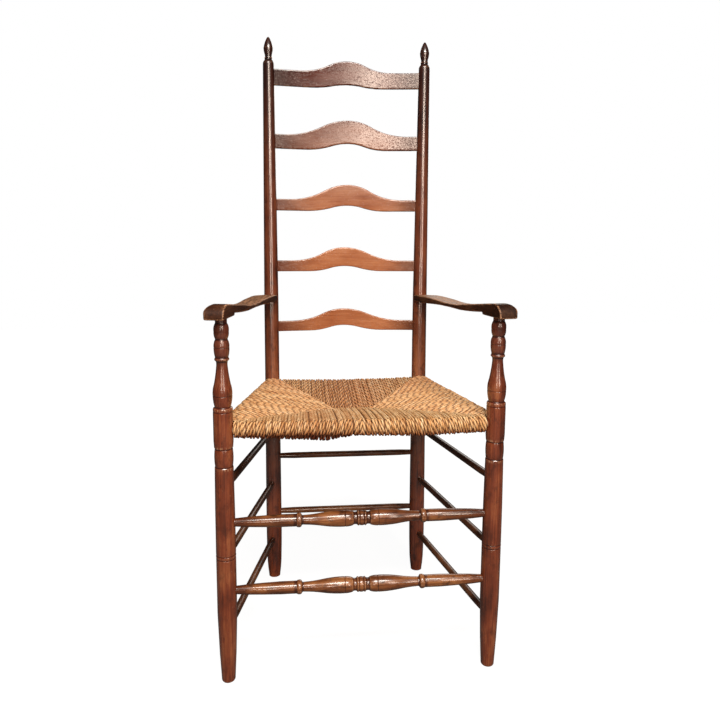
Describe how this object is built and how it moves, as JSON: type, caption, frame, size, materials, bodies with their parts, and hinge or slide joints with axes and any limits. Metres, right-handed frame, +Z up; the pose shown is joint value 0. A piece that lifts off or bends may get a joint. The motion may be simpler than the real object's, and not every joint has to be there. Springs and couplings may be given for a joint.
{
  "type": "ladderback armchair",
  "caption": "Tall ladderback armchair with turned posts and front stretchers, shaped back slats, scrolled arms and a woven rush seat.",
  "frame": {"origin": "on the floor, under the middle of the chair's overall box", "axes": "+Z up, +Y from the front edge towards the back, +X towards the posts named right, which are at the right as seen from the front"},
  "size_m": [0.5352, 0.4514, 1.237],
  "materials": {
    "post_wood": "worn red-brown varnish, glossy",
    "slat_wood": "worn red-brown varnish, satin",
    "arm_wood": "worn red-brown varnish with rubbed edges, satin",
    "stretcher_wood": "worn red-brown varnish, satin",
    "rail_wood": "unfinished, hidden in the rush",
    "rush": "twisted dry rush, golden straw with darker strands"
  },
  "bodies": {
    "root": {"front_post_left": "post_wood", "front_post_right": "post_wood", "rear_post_left": "post_wood", "rear_post_right": "post_wood", "back_slat_top": "slat_wood", "back_slat_upper": "slat_wood", "back_slat_middle": "slat_wood", "back_slat_lower": "slat_wood", "back_slat_bottom": "slat_wood", "arm_left": "arm_wood", "arm_right": "arm_wood", "front_stretcher_upper": "stretcher_wood", "front_stretcher_lower": "stretcher_wood", "side_stretcher_left_upper": "stretcher_wood", "side_stretcher_left_middle": "stretcher_wood", "side_stretcher_left_lower": "stretcher_wood", "side_stretcher_right_upper": "stretcher_wood", "side_stretcher_right_middle": "stretcher_wood", "side_stretcher_right_lower": "stretcher_wood", "rear_stretcher_upper": "stretcher_wood", "rear_stretcher_lower": "stretcher_wood", "seat_rail_front": "rail_wood", "seat_rail_back": "rail_wood", "seat_rail_left": "rail_wood", "seat_rail_right": "rail_wood", "rush_seat": "rush"}
  },
  "joints": []
}
